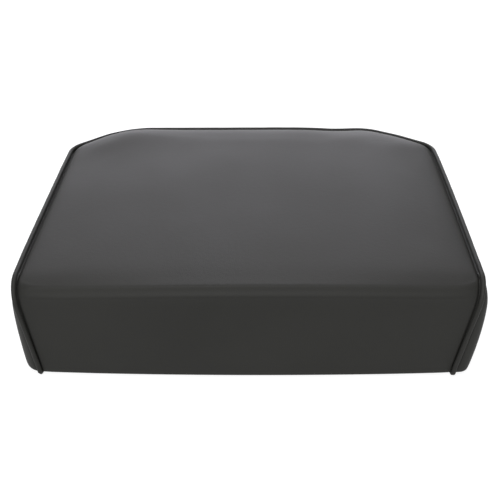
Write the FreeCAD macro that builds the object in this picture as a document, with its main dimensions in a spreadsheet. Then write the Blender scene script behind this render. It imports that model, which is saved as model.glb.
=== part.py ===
"""Upholstered booster cushion: a foam seat pad on a plywood base, under a sewn vinyl cover.

+X is the sitter's right-hand edge seen from the front, +Y runs from the front to the back, and +Z is up.
The origin is on the ground, under the middle of the cushion. All sizes are in millimetres.

One vinyl panel covers the top and falls over the front edge. Three boxing panels close the sides and
the back, a welt piping fills the seam between them, and every panel is folded under the board.
"""
import FreeCAD
import Part
import Sketcher
import math
import os

DIMENSIONS = (
    # alias, value, what it is
    ("seat_width", 460, "across the side seams at the top"),
    ("belly_width", 474, "across the fullest part of the sides"),
    ("base_width", 456, "across the cover at the ground"),
    ("seam_base_width", 424, "between the two front seams at the ground"),
    ("seat_depth", 380, "front face to back face"),
    ("edge_height", 106, "ground to the top seams"),
    ("belly_height", 62, "ground to the fullest part of the sides"),
    ("crown_rise", 12, "top of the crown above the top seams"),
    ("crown_inset", 45, "width of the sloping border of the crown"),
    ("corner_depth", 55, "depth of the angled rear corners"),
    ("corner_angle", 34, "degrees between an angled rear corner and the back"),
    ("front_corner_base", 22, "plan radius of a front corner up to the fullest part"),
    ("front_corner_top", 5, "plan radius of a front corner at the seams"),
    ("front_corner_crown", 20, "plan radius of a front corner of the crown"),
    ("side_corner", 28, "plan radius between a side and an angled corner"),
    ("rear_corner", 60, "plan radius between an angled corner and the back"),
    ("nose_radius", 22, "rounding of the front edge"),
    ("welt_nose_radius", 17, "bend of the welt where it passes over the front edge"),
    ("cover_thickness", 1.2, "foam-backed vinyl"),
    ("hem_width", 42, "cover folded under the board"),
    ("rear_seam_half", 140, "centre line to the upright seams in the back"),
    ("dust_cover_thickness", 0.5, "non-woven cloth"),
    ("dust_cover_inset", 14, "edge of the dust cover, in from the cover's edge"),
    ("wadding_thickness", 5, "polyester wadding over the foam"),
    ("board_thickness", 12, "plywood"),
    ("board_clearance", 2.5, "wadding between the board's edge and the cover"),
    ("board_edge_radius", 3, "eased lower edge of the board"),
    ("topper_bottom", 78, "ground to the joint between the two foams"),
    ("vent_radius", 11, "breather holes in the board"),
    ("vent_spacing_wide", 150, "breather holes, centre to corner hole, across"),
    ("vent_spacing_deep", 55, "breather holes, centre to corner hole, front to back"),
    ("bolt_spacing_wide", 240, "between tee nuts, across"),
    ("bolt_spacing_deep", 200, "between tee nuts, front to back"),
    ("bolt_access_radius", 8, "holes in the dust cover under the tee nuts"),
    ("nut_bore_radius", 3.4, "M8 core"),
    ("nut_barrel_radius", 5, "tee nut barrel"),
    ("nut_flange_radius", 11, "tee nut flange"),
    ("nut_flange_thickness", 1.5, "tee nut flange"),
    ("prong_length", 7, "tee nut prong"),
    ("prong_width", 4, "tee nut prong"),
    ("prong_thickness", 1.2, "tee nut prong"),
    ("prong_inset", 1.8, "from the flange's edge to a prong's inner face"),
    ("bolt_relief_radius", 6, "room in the foam over a tee nut for a bolt's end"),
    ("bolt_relief_depth", 10, "room in the foam over a tee nut for a bolt's end"),
    ("piping_radius", 2.5, "outside of the welt"),
    ("piping_cord_radius", 1.6, "filler cord inside the welt"),
    ("piping_proud", 0.5, "welt centre outside the seam edge"),
    ("piping_end_height", 1.2, "ground to the welt's end"),
    ("staple_crown", 10, "across a staple"),
    ("staple_leg", 8, "length of a staple's legs"),
    ("staple_wire_height", 0.7, "staple wire"),
    ("staple_wire_width", 1.2, "staple wire"),
    ("staple_margin", 30, "from a corner to the first staple"),
    ("cover_staple_inset", 31, "line of the cover's staples"),
    ("cover_staple_pitch", 38, "between the cover's staples"),
    ("dust_staple_inset", 20, "line of the dust cover's staples"),
    ("dust_staple_pitch", 62, "between the dust cover's staples"),
)

X_AXIS = FreeCAD.Vector(1, 0, 0)
Z_AXIS = FreeCAD.Vector(0, 0, 1)
START, END, CENTRE = 1, 2, 3  # a Sketcher edge's two ends, and a circle's centre
ORIGIN, HORIZONTAL_AXIS, VERTICAL_AXIS = -1, -1, -2
OUTSIDE = 40  # how far a cutting shape runs past the cushion
BELOW = "-1"  # where the shapes that divide the cover start, under the ground
THIN = 0.02  # how far a cut may pass a face it has to clear

# Expressions that several sketches share.
HALF_DEPTH = "dims.seat_depth / 2"
SIDE_TURN = "(90 - dims.corner_angle) / 2"
HEM_TOP = "dims.dust_cover_thickness + dims.cover_thickness"
BOARD_TOP = HEM_TOP + " + dims.board_thickness"
FOAM_INSET = "dims.cover_thickness + dims.wadding_thickness"

doc = FreeCAD.newDocument("booster_cushion")
sheet = doc.addObject("Spreadsheet::Sheet", "dims")


def fill_sheet():
    """Writes one row to a dimension: its name, its value, which gets the alias, and what it is."""
    for row, (alias, value, meaning) in enumerate(DIMENSIONS, start=1):
        sheet.set(f"A{row}", alias)
        sheet.set(f"B{row}", str(value))
        sheet.set(f"C{row}", meaning)
        sheet.setAlias(f"B{row}", alias)
    doc.recompute()


def size(expression):
    """The number that an expression on the sheet gives now."""
    result = sheet.evalExpression(expression)
    return float(getattr(result, "Value", result))


# ---- Bodies and sketches ----


def new_body(label):
    body = doc.addObject("PartDesign::Body", label)
    body.Label = label
    return body


def new_sketch(body, name, role, offset=None):
    """A sketch on one of the body's own origin planes, raised off it by an expression."""
    sketch = body.newObject("Sketcher::SketchObject", name)
    plane = next(f for f in body.Origin.OriginFeatures if f.Role == role)
    sketch.AttachmentSupport = [(plane, "")]
    sketch.MapMode = "FlatFace"
    if offset:
        sketch.setExpression("AttachmentOffset.Base.z", offset)
    return sketch


def bind(sketch, kind, *references, value):
    """Adds a dimension to a sketch and ties it to an expression on the sheet."""
    index = sketch.addConstraint(Sketcher.Constraint(kind, *references, size(value)))
    sketch.setExpression(f"Constraints[{index}]", value)


def bind_point(sketch, edge, end, x, y):
    """Ties one end of an edge to a place in the sketch. A coordinate of 0 is an axis, not a dimension."""
    for kind, axis, value in (("DistanceX", VERTICAL_AXIS, x), ("DistanceY", HORIZONTAL_AXIS, y)):
        if value == "0":
            sketch.addConstraint(Sketcher.Constraint("PointOnObject", edge, end, axis))
        else:
            bind(sketch, kind, ORIGIN, START, edge, end, value=value)


def polygon(sketch, corners):
    """A closed outline of straight edges through corners given as pairs of expressions."""
    points = [FreeCAD.Vector(size(x), size(y), 0) for x, y in corners]
    edges = [
        sketch.addGeometry(Part.LineSegment(point, points[(i + 1) % len(points)]))
        for i, point in enumerate(points)
    ]
    for i, edge in enumerate(edges):
        following = edges[(i + 1) % len(edges)]
        sketch.addConstraint(Sketcher.Constraint("Coincident", edge, END, following, START))
    for edge, (x, y) in zip(edges, corners):
        bind_point(sketch, edge, START, x, y)


def circle(sketch, x, y, radius):
    centre = FreeCAD.Vector(size(x), size(y), 0)
    edge = sketch.addGeometry(Part.Circle(centre, Z_AXIS, size(radius)))
    bind_point(sketch, edge, CENTRE, x, y)
    bind(sketch, "Radius", edge, value=radius)


def pad(body, sketch, length, name="Pad", symmetric=False):
    feature = body.newObject("PartDesign::Pad", name)
    feature.Profile = sketch
    feature.setExpression("Length", length)
    if symmetric:
        feature.SideType = "Symmetric"
    return feature


def pocket(body, sketch, name):
    """Cuts right through the body on both sides of the sketch."""
    doc.recompute()
    before = body.Shape.Volume
    feature = body.newObject("PartDesign::Pocket", name)
    feature.Profile = sketch
    feature.SideType = "Symmetric"
    feature.setExpression("Length", "2 * dims.seat_width")
    doc.recompute()
    if feature.Shape.Volume >= before:
        raise RuntimeError(f"{body.Label}: {name} removed nothing")
    return feature


# ---- The cushion's plan outline ----


def outline_corners(half_width, inset):
    """Virtual corners of the right half of the plan, in from the edge by inset: front, side, rear."""
    half, step = size(half_width), size(inset)
    depth, angle = size(HALF_DEPTH), math.radians(size("dims.corner_angle"))
    side_turn = math.radians(size(SIDE_TURN))
    return (
        FreeCAD.Vector(half - step, step - depth, 0),
        FreeCAD.Vector(
            half - step, depth - size("dims.corner_depth") - step * math.tan(side_turn), 0
        ),
        FreeCAD.Vector(
            half - size("dims.corner_depth") / math.tan(angle) - step * math.tan(angle / 2),
            depth - step,
            0,
        ),
    )


def mirrored(point):
    return FreeCAD.Vector(-point.x, point.y, point.z)


def outline(sketch, half_width, inset, front_radius, side_radius, rear_radius):
    """Draws the plan: six straight edges and six tangent corners, symmetric about the centre line."""
    front, side, rear = outline_corners(half_width, inset)
    corners = [front, side, rear, mirrored(rear), mirrored(side), mirrored(front)]
    names = [front_radius, side_radius, rear_radius, rear_radius, side_radius, front_radius]
    radii = [size(name) for name in names]
    arcs, starts, ends = [], [], []
    for i, (corner, radius) in enumerate(zip(corners, radii)):
        arrive = (corner - corners[i - 1]).normalize()
        leave = (corners[(i + 1) % 6] - corner).normalize()
        reach = radius * math.tan(arrive.getAngle(leave) / 2)
        starts.append(corner - arrive * reach)
        ends.append(corner + leave * reach)
        centre = starts[-1] + FreeCAD.Vector(-arrive.y, arrive.x, 0) * radius
        turn_from = math.atan2(starts[-1].y - centre.y, starts[-1].x - centre.x)
        turn_to = math.atan2(ends[-1].y - centre.y, ends[-1].x - centre.x)
        arc = Part.ArcOfCircle(Part.Circle(centre, Z_AXIS, radius), turn_from, turn_to)
        arcs.append(sketch.addGeometry(arc))
    # edges[i] runs from corner i to the next: right side, right angle, back, left angle, left side, front
    edges = [sketch.addGeometry(Part.LineSegment(ends[i], starts[(i + 1) % 6])) for i in range(6)]
    for i in range(6):
        sketch.addConstraint(Sketcher.Constraint("Tangent", arcs[i], END, edges[i], START))
        following = arcs[(i + 1) % 6]
        sketch.addConstraint(Sketcher.Constraint("Tangent", edges[i], END, following, START))
    right, right_angle, back, left, front_edge = edges[0], edges[1], edges[2], edges[4], edges[5]
    for edge in (back, front_edge):
        sketch.addConstraint(
            Sketcher.Constraint("Symmetric", edge, START, edge, END, VERTICAL_AXIS)
        )
    for edge in (right, left):
        sketch.addConstraint(Sketcher.Constraint("Vertical", edge))
    for first, second in ((0, 5), (1, 4), (2, 3)):
        sketch.addConstraint(Sketcher.Constraint("Equal", arcs[first], arcs[second]))
        bind(sketch, "Radius", arcs[first], value=names[first])
    sketch.addConstraint(Sketcher.Constraint("Equal", right, left))
    bind(sketch, "DistanceX", ORIGIN, START, right, START, value=f"{half_width} - ({inset})")
    bind(sketch, "DistanceY", front_edge, START, ORIGIN, START, value=f"{HALF_DEPTH} - ({inset})")
    bind(sketch, "DistanceY", ORIGIN, START, back, START, value=f"{HALF_DEPTH} - ({inset})")
    side_end = (
        f"{HALF_DEPTH} - dims.corner_depth - ({inset} + {side_radius}) * tan({SIDE_TURN})"
    )
    bind(sketch, "DistanceY", ORIGIN, START, right, END, value=side_end)
    # The angled corner runs up and to the left, so it stands at 180 degrees less its own angle.
    index = sketch.addConstraint(
        Sketcher.Constraint("Angle", right_angle, math.radians(180 - size("dims.corner_angle")))
    )
    sketch.setExpression(f"Constraints[{index}]", "(180 - dims.corner_angle) * 1 deg")


def block(label, inset, bottom):
    """The whole cushion's form, in from the outside of the cover by inset, standing at bottom."""
    body = new_body(label)
    side_radii = (f"dims.side_corner - ({inset})", f"dims.rear_corner - ({inset})")
    walls = (
        ("ground", bottom, "dims.base_width / 2", f"dims.front_corner_base - ({inset})"),
        ("belly", "dims.belly_height", "dims.belly_width / 2", f"dims.front_corner_base - ({inset})"),
        (
            "seams",
            f"dims.edge_height - ({inset})",
            "dims.seat_width / 2",
            f"max(dims.front_corner_top - ({inset}); 1)",
        ),
    )
    sections = []
    for level, height, half_width, front_radius in walls:
        section = new_sketch(body, f"{label}_at_{level}", "XY_Plane", height)
        outline(section, half_width, inset, front_radius, *side_radii)
        sections.append(section)
    top = f"dims.edge_height + dims.crown_rise - ({inset})"
    crown = new_sketch(body, label + "_at_crown", "XY_Plane", top)
    outline(
        crown,
        "dims.seat_width / 2",
        f"{inset} + dims.crown_inset",
        "dims.front_corner_crown",
        "dims.side_corner",
        "dims.rear_corner",
    )
    loft = body.newObject("PartDesign::AdditiveLoft", label + "_form")
    loft.Profile = sections[0]
    loft.Sections = sections[1:] + [crown]
    loft.Ruled = True
    round_nose(body, label, inset)
    return body


def round_nose(body, label, inset):
    """Rounds the front edge, tangent to the front face and to the crown's front slope."""
    doc.recompute()
    radius = f"(dims.nose_radius - ({inset}))"
    slope = "atan(dims.crown_rise / dims.crown_inset)"
    front = f"({HALF_DEPTH} - ({inset}))"
    seam = f"(dims.edge_height - ({inset}))"
    centre_height = f"({seam} + {radius} * tan({slope}) - {radius} / cos({slope}))"
    meet_in = f"({front} - {radius} + {radius} * sin({slope}))"
    meet_height = f"({centre_height} + {radius} * cos({slope}))"
    sketch = new_sketch(body, label + "_nose", "YZ_Plane")
    centre = FreeCAD.Vector(-size(f"{front} - {radius}"), size(centre_height), 0)
    low = FreeCAD.Vector(-size(front), size(centre_height), 0)
    high = FreeCAD.Vector(-size(meet_in), size(meet_height), 0)
    outer_top = FreeCAD.Vector(high.x, high.y + OUTSIDE, 0)
    outer_front = FreeCAD.Vector(low.x - OUTSIDE, outer_top.y, 0)
    outer_low = FreeCAD.Vector(outer_front.x, low.y, 0)
    turn = math.atan2(high.y - centre.y, high.x - centre.x)
    arc = sketch.addGeometry(
        Part.ArcOfCircle(Part.Circle(centre, Z_AXIS, size(radius)), turn, math.pi)
    )
    corners = [low, outer_low, outer_front, outer_top, high]
    edges = [
        sketch.addGeometry(Part.LineSegment(corners[i], corners[i + 1])) for i in range(4)
    ]
    # The arc starts high and ends low, and the four straight edges close the waste round it.
    chain = [arc, *edges]
    for first, second in zip(chain, edges + [arc]):
        sketch.addConstraint(Sketcher.Constraint("Coincident", first, END, second, START))
    for kind, edge in zip(("Horizontal", "Vertical", "Horizontal", "Vertical"), edges):
        sketch.addConstraint(Sketcher.Constraint(kind, edge))
    bind(sketch, "Radius", arc, value=radius)
    bind(sketch, "DistanceX", edges[0], START, ORIGIN, START, value=front)
    bind(sketch, "DistanceY", ORIGIN, START, edges[0], START, value=centre_height)
    bind(sketch, "DistanceX", edges[3], END, ORIGIN, START, value=meet_in)
    bind(sketch, "DistanceY", ORIGIN, START, edges[3], END, value=meet_height)
    for kind, edge in (("DistanceX", edges[1]), ("DistanceY", edges[2])):
        reach = size(HALF_DEPTH) + OUTSIDE if kind == "DistanceX" else outer_top.y
        first, second = ((edge, START), (ORIGIN, START))
        if kind == "DistanceY":
            first, second = second, first
        sketch.addConstraint(Sketcher.Constraint(kind, *first, *second, reach))
    pocket(body, sketch, label + "_nose_cut")


def box(label, low, high):
    """A Part box between two corners given as expressions."""
    shape = doc.addObject("Part::Box", label)
    for name, axis, start, end in zip(("Length", "Width", "Height"), "xyz", low, high):
        shape.setExpression(f"Placement.Base.{axis}", start)
        shape.setExpression(name, f"({end}) - ({start})")
    return shape


def slab(label, bottom, top):
    """A level slice as wide as everything, between two heights."""
    reach = "dims.seat_width"
    return box(label, (f"-{reach}", f"-{reach}", bottom), (reach, reach, top))


def boolean(kind, label, base, tool):
    """Part::Cut or Part::Common of two objects."""
    result = doc.addObject("Part::" + kind, label)
    result.Label = label
    result.Base = base
    result.Tool = tool
    result.Refine = False
    return result


def cut(label, base, *tools):
    """Cuts the tools from base one after another. The last result carries the label."""
    for i, tool in enumerate(tools, start=1):
        name = label if i == len(tools) else f"{label}_step_{i}"
        base = boolean("Cut", name, base, tool)
    return base


def common(label, base, tool):
    return boolean("Common", label, base, tool)


def scripted(label, shape):
    feature = doc.addObject("Part::Feature", label)
    feature.Label = label
    feature.Shape = shape
    return feature


# ---- Fasteners ----


def tee_nut():
    """One M8 tee nut: a flange on top of the board, a barrel down through it and four prongs."""
    body = new_body("tee_nut")
    profile = new_sketch(body, "tee_nut_profile", "XZ_Plane")
    top = "dims.board_thickness + dims.nut_flange_thickness"
    polygon(
        profile,
        (
            ("dims.nut_bore_radius", "0"),
            ("dims.nut_barrel_radius", "0"),
            ("dims.nut_barrel_radius", "dims.board_thickness"),
            ("dims.nut_flange_radius", "dims.board_thickness"),
            ("dims.nut_flange_radius", top),
            ("dims.nut_bore_radius", top),
        ),
    )
    turned = body.newObject("PartDesign::Revolution", "tee_nut_turned")
    turned.Profile = profile
    turned.ReferenceAxis = (profile, ["V_Axis"])
    prong = new_sketch(
        body,
        "tee_nut_prong_outline",
        "YZ_Plane",
        "dims.nut_flange_radius - dims.prong_inset",
    )
    polygon(
        prong,
        (
            ("-dims.prong_width / 2", "dims.board_thickness"),
            ("0", "dims.board_thickness - dims.prong_length"),
            ("dims.prong_width / 2", "dims.board_thickness"),
        ),
    )
    blade = pad(body, prong, "dims.prong_thickness", "tee_nut_prong")
    ring = body.newObject("PartDesign::PolarPattern", "tee_nut_prongs")
    ring.Originals = [blade]
    ring.Axis = (profile, ["V_Axis"])
    ring.Angle = 360
    ring.Occurrences = 4
    body.Tip = ring
    return body


def nut_recess():
    """The space one tee nut needs in the foam: its flange, and room above it for the bolt's end."""
    body = new_body("nut_recess")
    profile = new_sketch(body, "nut_recess_profile", "XZ_Plane")
    flange_top = "dims.board_thickness + dims.nut_flange_thickness"
    relief_top = flange_top + " + dims.bolt_relief_depth"
    polygon(
        profile,
        (
            ("0", "dims.board_thickness"),
            ("dims.nut_flange_radius", "dims.board_thickness"),
            ("dims.nut_flange_radius", flange_top),
            ("dims.bolt_relief_radius", flange_top),
            ("dims.bolt_relief_radius", relief_top),
            ("0", relief_top),
        ),
    )
    turned = body.newObject("PartDesign::Revolution", "nut_recess_turned")
    turned.Profile = profile
    turned.ReferenceAxis = (profile, ["V_Axis"])
    return body


def staple():
    """One staple, points up, with the underside of its crown on the plane it is driven from."""
    body = new_body("staple")
    profile = new_sketch(body, "staple_profile", "XZ_Plane")
    outer = "dims.staple_crown / 2"
    inner = "dims.staple_crown / 2 - dims.staple_wire_height"
    polygon(
        profile,
        (
            (f"-{outer}", "0"),
            (outer, "0"),
            (outer, "dims.staple_leg"),
            (inner, "dims.staple_leg"),
            (inner, "dims.staple_wire_height"),
            (f"-({inner})", "dims.staple_wire_height"),
            (f"-({inner})", "dims.staple_leg"),
            (f"-{outer}", "dims.staple_leg"),
        ),
    )
    pad(body, profile, "dims.staple_wire_width", "staple_wire", symmetric=True)
    return body


def placed_copies(label, master, places):
    """A group of separate solids: one copy of the master's shape at each placement."""
    doc.recompute()
    copies = []
    for place in places:
        copy = master.Shape.copy()
        copy.Placement = place.multiply(copy.Placement)
        copies.append(copy)
    return scripted(label, Part.makeCompound(copies))


def bolt_places():
    """The four tee nuts, with their barrels' ends level with the board's underside."""
    wide, deep = size("dims.bolt_spacing_wide / 2"), size("dims.bolt_spacing_deep / 2")
    height = size(HEM_TOP)
    return [
        FreeCAD.Placement(FreeCAD.Vector(x, y, height), FreeCAD.Rotation())
        for x in (-wide, wide)
        for y in (-deep, deep)
    ]


def staple_places(inset, pitch, height):
    """Staples along each straight edge of the outline at the ground, evenly spaced between its margins."""
    corners = list(outline_corners("dims.base_width / 2", inset))
    corners += [mirrored(corner) for corner in reversed(corners)]
    margin = size("dims.staple_margin")
    places = []
    for i, start in enumerate(corners):
        run = corners[(i + 1) % len(corners)] - start
        turn = FreeCAD.Rotation(X_AXIS, FreeCAD.Vector(run))
        free = run.Length - 2 * margin
        spans = round(free / size(pitch))
        # A short edge takes one staple, in its middle.
        along = [margin + free * k / spans for k in range(spans + 1)] if spans else [run.Length / 2]
        for distance in along:
            point = start + run * (distance / run.Length)
            places.append(FreeCAD.Placement(point + Z_AXIS * size(height), turn))
    return places


# ---- Piping ----


def rounded_path(points, radii):
    """Straight runs through points, with a tangent arc at each inner point."""
    edges, last = [], points[0]
    for i, radius in enumerate(radii, start=1):
        arrive = (points[i] - points[i - 1]).normalize()
        leave = (points[i + 1] - points[i]).normalize()
        reach = radius * math.tan(arrive.getAngle(leave) / 2)
        start, end = points[i] - arrive * reach, points[i] + leave * reach
        bisector = (leave - arrive).normalize()
        centre = points[i] + bisector * math.hypot(reach, radius)
        middle = centre - bisector * radius
        edges.append(Part.LineSegment(last, start).toShape())
        edges.append(Part.Arc(start, middle, end).toShape())
        last = end
    edges.append(Part.LineSegment(last, points[-1]).toShape())
    return Part.Wire(edges)


def piping_path():
    """The welt's centre line: up a front corner, back along the side, round the back and down again."""
    proud = size("dims.piping_proud")
    lift = Z_AXIS * (size("dims.edge_height") + proud)
    front, side, rear = outline_corners("dims.seat_width / 2", "-dims.piping_proud")
    foot = FreeCAD.Vector(size("dims.seam_base_width / 2"), front.y, size("dims.piping_end_height"))
    right = [foot, front + lift, side + lift, rear + lift]
    radii = [size("dims.welt_nose_radius"), size("dims.side_corner"), size("dims.rear_corner")]
    points = right + [mirrored(point) for point in reversed(right)]
    return scripted("piping_path", rounded_path(points, radii + radii[::-1]))


def swept(label, path, radius):
    """A round bar along the whole path. Its section stands square to the path's first run."""
    first = path.Shape.Edges[0]
    section = doc.addObject("Part::Circle", label + "_section")
    section.setExpression("Radius", radius)
    direction = first.tangentAt(first.FirstParameter)
    start = first.valueAt(first.FirstParameter)
    section.Placement = FreeCAD.Placement(start, FreeCAD.Rotation(Z_AXIS, direction))
    sweep = doc.addObject("Part::Sweep", label)
    sweep.Label = label
    sweep.Sections = [section]
    sweep.Spine = (path, [f"Edge{i + 1}" for i in range(len(path.Shape.Edges))])
    sweep.Solid = True
    doc.recompute()
    expected = math.pi * size(radius) ** 2 * path.Shape.Length
    if abs(sweep.Shape.Volume / expected - 1) > 0.005:
        raise RuntimeError(f"{label}: volume {sweep.Shape.Volume:.0f}, expected {expected:.0f}")
    return sweep


# ---- Sub-parts ----


def board_plan(body, name):
    """A sketch of the board's outline at its underside."""
    inset = "dims.cover_thickness + dims.board_clearance"
    sketch = new_sketch(body, name, "XY_Plane", HEM_TOP)
    outline(
        sketch,
        "dims.base_width / 2",
        inset,
        f"dims.front_corner_base - ({inset})",
        f"dims.side_corner - ({inset})",
        f"dims.rear_corner - ({inset})",
    )
    return sketch


def base_board(nuts, staples):
    """Plywood base with breather holes, tee nut holes and the cuts of everything driven into it."""
    body = new_body("base_board_blank")
    plan = board_plan(body, "base_board_plan")
    panel = pad(body, plan, "dims.board_thickness", "base_board_panel")
    doc.recompute()
    underside = size(HEM_TOP) + THIN
    lower_edges = [
        f"Edge{i}"
        for i, edge in enumerate(panel.Shape.Edges, start=1)
        if edge.BoundBox.ZMax < underside
    ]
    eased = body.newObject("PartDesign::Fillet", "base_board_eased_edge")
    eased.Base = (panel, lower_edges)
    eased.setExpression("Radius", "dims.board_edge_radius")
    vents = new_sketch(body, "base_board_vents", "XY_Plane")
    circle(vents, "0", "0", "dims.vent_radius")
    bolts = new_sketch(body, "base_board_nut_holes", "XY_Plane")
    for x in ("-", ""):
        for y in ("-", ""):
            circle(
                vents, x + "dims.vent_spacing_wide", y + "dims.vent_spacing_deep", "dims.vent_radius"
            )
            circle(
                bolts,
                x + "dims.bolt_spacing_wide / 2",
                y + "dims.bolt_spacing_deep / 2",
                "dims.nut_barrel_radius",
            )
    pocket(body, vents, "base_board_vent_cut")
    pocket(body, bolts, "base_board_nut_cut")
    return cut("base_board", body, nuts, *staples)


def foams(nut_recesses):
    """Firm core with a recess over each tee nut, soft topper, and the wadding round both."""
    inside = block("cover_inside", "dims.cover_thickness", HEM_TOP)
    filling = block("wadding_inside", FOAM_INSET, HEM_TOP)
    core_slice = slab("core_slice", BOARD_TOP, "dims.topper_bottom")
    topper_slice = slab("topper_slice", "dims.topper_bottom", "2 * dims.edge_height")
    cut("foam_core", common("foam_core_blank", filling, core_slice), nut_recesses)
    common("foam_topper", filling, topper_slice)
    # The wadding is pulled down round the board's edge as far as the hem.
    board_space = new_body("board_space")
    plan = board_plan(board_space, "board_space_plan")
    pad(board_space, plan, "dims.board_thickness", "board_space_pad")
    cut("wadding", inside, filling, board_space)
    return inside


def side_region():
    """Everything that belongs to the right-hand boxing panel: the side, the angled corner and the hem."""
    body = new_body("side_region")
    far = f"dims.seat_width / 2 + {OUTSIDE}"
    seam = "dims.edge_height - dims.cover_thickness"
    wall = new_sketch(body, "side_region_wall", "XZ_Plane")
    polygon(
        wall,
        (
            ("dims.seam_base_width / 2", BELOW),
            (far, BELOW),
            (far, seam),
            ("dims.seat_width / 2 - dims.cover_thickness", seam),
        ),
    )
    pad(body, wall, "2 * dims.seat_depth", "side_region_wall_pad", symmetric=True)
    corner = new_sketch(body, "side_region_corner", "XY_Plane", BELOW)
    near = f"{HALF_DEPTH} - 2 * dims.corner_depth"
    polygon(
        corner,
        (
            ("dims.rear_seam_half", near),
            (far, near),
            (far, "dims.seat_depth"),
            ("dims.rear_seam_half", "dims.seat_depth"),
        ),
    )
    pad(body, corner, f"{seam} - ({BELOW})", "side_region_corner_pad")
    # The hem meets the front hem on a 45 degree mitre.
    hem = new_sketch(body, "side_region_hem", "XY_Plane", BELOW)
    outer = "dims.seam_base_width / 2"
    inner = "dims.seam_base_width / 2 - dims.hem_width"
    polygon(
        hem,
        (
            (outer, f"-{HALF_DEPTH}"),
            (far, f"-{HALF_DEPTH}"),
            (far, near),
            (inner, near),
            (inner, f"-{HALF_DEPTH} + dims.hem_width"),
        ),
    )
    pad(body, hem, f"{HEM_TOP} - ({BELOW})", "side_region_hem_pad")
    return body


def cover(inside, welt, staples):
    """The vinyl cover's four panels, cut from one skin along the seams."""
    outside = block("cover_outside", "0", "dims.dust_cover_thickness")
    opening = new_body("hem_opening")
    plan = new_sketch(opening, "hem_opening_plan", "XY_Plane")
    outline(
        plan,
        "dims.base_width / 2",
        "dims.hem_width",
        "dims.front_corner_top",
        "dims.side_corner",
        "dims.rear_corner",
    )
    pad(opening, plan, HEM_TOP, "hem_opening_pad")
    skin = cut("cover_skin", outside, inside, opening, welt, *staples)
    side = side_region()
    left = doc.addObject("Part::Mirroring", "side_region_left")
    left.Source = side
    left.Normal = X_AXIS
    half = "dims.rear_seam_half"
    back = box(
        "back_region",
        (f"-{half}", f"{HALF_DEPTH} - 2 * dims.corner_depth", BELOW),
        (half, "dims.seat_depth", "dims.edge_height - dims.cover_thickness"),
    )
    common("cover_side_right", skin, side)
    common("cover_side_left", skin, left)
    common("cover_back", skin, back)
    cut("cover_top_front", skin, side, left, back)


def dust_cover(staples):
    """The cloth under the board, with a hole below each tee nut."""
    body = new_body("dust_cover_cloth")
    plan = new_sketch(body, "dust_cover_plan", "XY_Plane")
    outline(
        plan,
        "dims.base_width / 2",
        "dims.dust_cover_inset",
        "dims.front_corner_base - dims.dust_cover_inset",
        "dims.side_corner - dims.dust_cover_inset",
        "dims.rear_corner - dims.dust_cover_inset",
    )
    pad(body, plan, "dims.dust_cover_thickness", "dust_cover_sheet")
    holes = new_sketch(body, "dust_cover_holes", "XY_Plane")
    for x in ("-", ""):
        for y in ("-", ""):
            circle(
                holes,
                x + "dims.bolt_spacing_wide / 2",
                y + "dims.bolt_spacing_deep / 2",
                "dims.bolt_access_radius",
            )
    pocket(body, holes, "dust_cover_hole_cut")
    return cut("dust_cover", body, staples)


PARTS = (
    "base_board",
    "tee_nuts",
    "foam_core",
    "foam_topper",
    "wadding",
    "cover_top_front",
    "cover_side_left",
    "cover_side_right",
    "cover_back",
    "piping_sleeve",
    "piping_cord",
    "cover_staples",
    "dust_cover",
    "dust_cover_staples",
)


def build():
    fill_sheet()
    nuts = placed_copies("tee_nuts", tee_nut(), bolt_places())
    nut_recesses = placed_copies("nut_recesses", nut_recess(), bolt_places())
    one_staple = staple()
    cover_staples = placed_copies(
        "cover_staples",
        one_staple,
        staple_places(
            "dims.cover_staple_inset", "dims.cover_staple_pitch", "dims.dust_cover_thickness"
        ),
    )
    dust_staples = placed_copies(
        "dust_cover_staples",
        one_staple,
        staple_places("dims.dust_staple_inset", "dims.dust_staple_pitch", "0"),
    )
    staples = (cover_staples, dust_staples)
    path = piping_path()
    welt = swept("welt", path, "dims.piping_radius")
    cord = swept("piping_cord", path, "dims.piping_cord_radius")
    cut("piping_sleeve", welt, cord)
    base_board(nuts, staples)
    inside = foams(nut_recesses)
    cover(inside, welt, staples)
    dust_cover(dust_staples)
    doc.recompute()


def check():
    """Stops on any failed feature, and on a sub-part that isn't made of valid solids."""
    for item in doc.Objects:
        if {"Invalid", "Error"} & set(item.State):
            raise RuntimeError(f"{item.Label} failed: {item.State}")
    for name in PARTS:
        shape = doc.getObjectsByLabel(name)[0].Shape
        if shape.isNull() or not shape.isValid() or not shape.Solids:
            raise RuntimeError(f"{name} has no valid solid")


def export():
    os.makedirs("parts", exist_ok=True)
    for name in PARTS:
        shape = doc.getObjectsByLabel(name)[0].Shape
        shape.exportStep(os.path.join("parts", name + ".step"))
        bounds = shape.BoundBox
        print(
            f"{name}: {len(shape.Solids)} solids, {shape.Volume / 1000:.1f} cm3, "
            f"{bounds.XLength:.1f} x {bounds.YLength:.1f} x {bounds.ZLength:.1f} mm"
        )


build()
check()
export()
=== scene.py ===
"""Looks of the upholstered booster cushion: its sewn vinyl cover, welt, wadding and dust cover.

The cover is four panels. Each is a grid of points laid over the foam, inflated as cloth with its edges
pinned to the seams, and then given the vinyl's thickness. The welt follows the edge that they share.
Lengths are in metres. +X is across the seat, +Y runs to the back and +Z is up.
"""

import math

import bpy
import numpy as np
from mathutils import Matrix, Vector, geometry, noise


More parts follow.
